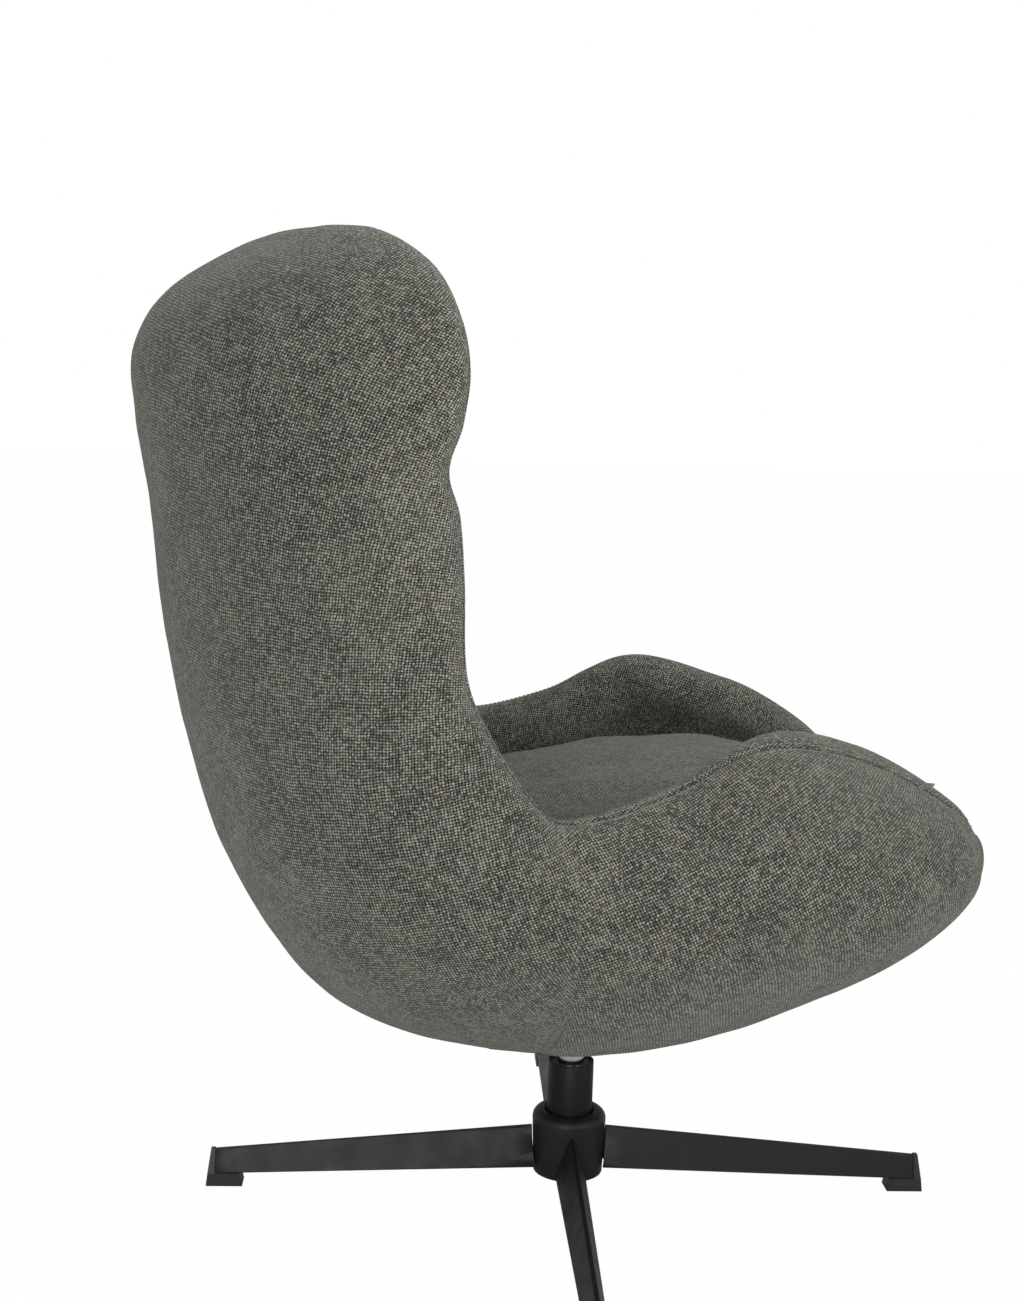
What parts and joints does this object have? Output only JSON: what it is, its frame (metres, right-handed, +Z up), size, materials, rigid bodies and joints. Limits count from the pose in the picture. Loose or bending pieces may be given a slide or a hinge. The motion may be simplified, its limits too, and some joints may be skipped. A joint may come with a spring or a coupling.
{
  "type": "swivel pod lounge chair",
  "caption": "Hooded pod lounge chair: a padded one-piece bucket seat with a loose cushion, turning freely on a column and a four-legged star base.",
  "frame": {"origin": "on the floor, in the middle of the chair's overall width and depth; the swivel axis stands 34 mm ahead of it", "axes": "+Z up, the sitter faces -Y, and the sitter's left is +X"},
  "size_m": [0.737, 0.8144, 0.9492],
  "materials": {
    "black_powder_coat": "matt black powder coat",
    "black_plastic": "matt",
    "bush_plastic": "natural acetal",
    "bearing_steel": "ground",
    "spindle_chrome": "polished chrome",
    "zinc_steel": "zinc plated",
    "plywood": "raw birch plywood",
    "shell_plastic": "moulded glass-fibre plastic, unpainted",
    "seat_foam": "open-cell foam",
    "woven_upholstery": "coarse basket weave in olive grey",
    "black_underside_cloth": "non-woven black cloth"
  },
  "bodies": {
    "base": {"base_hub": "black_powder_coat", "leg_front": "black_powder_coat", "foot_cap_front": "black_plastic", "leg_left": "black_powder_coat", "foot_cap_left": "black_plastic", "leg_rear": "black_powder_coat", "foot_cap_rear": "black_plastic", "leg_right": "black_powder_coat", "foot_cap_right": "black_plastic", "column_sleeve": "black_powder_coat", "upper_bush": "bush_plastic", "lower_bush": "bush_plastic", "lower_race": "bearing_steel"},
    "bearing_cage": {"ball_cage": "bush_plastic", "bearing_balls": "bearing_steel"},
    "seat": {"swivel_spindle": "spindle_chrome", "upper_race": "bearing_steel", "end_washer": "zinc_steel", "retaining_clip": "zinc_steel", "plate_socket": "black_powder_coat", "mounting_plate": "black_powder_coat", "plate_washers": "zinc_steel", "plate_bolts": "zinc_steel", "tee_nuts": "zinc_steel", "seat_board": "plywood", "seat_shell": "shell_plastic", "base_foam": "seat_foam", "back_cover": "woven_upholstery", "arm_cover_right": "woven_upholstery", "arm_cover_left": "woven_upholstery", "front_panel": "woven_upholstery", "head_pad": "woven_upholstery", "back_pad": "woven_upholstery", "arm_pad_right": "woven_upholstery", "arm_pad_left": "woven_upholstery", "front_lip_pad": "woven_upholstery", "seat_cushion": "woven_upholstery", "underside_cover": "black_underside_cloth"}
  },
  "joints": [
    {"name": "seat_swivel", "type": "hinge", "parent": "base", "child": "seat", "pos_m": [0, -0.034, 0.14], "axis": [0, 0, 1], "continuous": true},
    {"name": "cage_turn", "type": "hinge", "parent": "base", "child": "bearing_cage", "pos_m": [0, -0.034, 0.033], "axis": [0, 0, 1], "continuous": true}
  ],
  "couplings": [
    {"joint": "cage_turn", "follows": "seat_swivel", "ratio": 0.5}
  ]
}
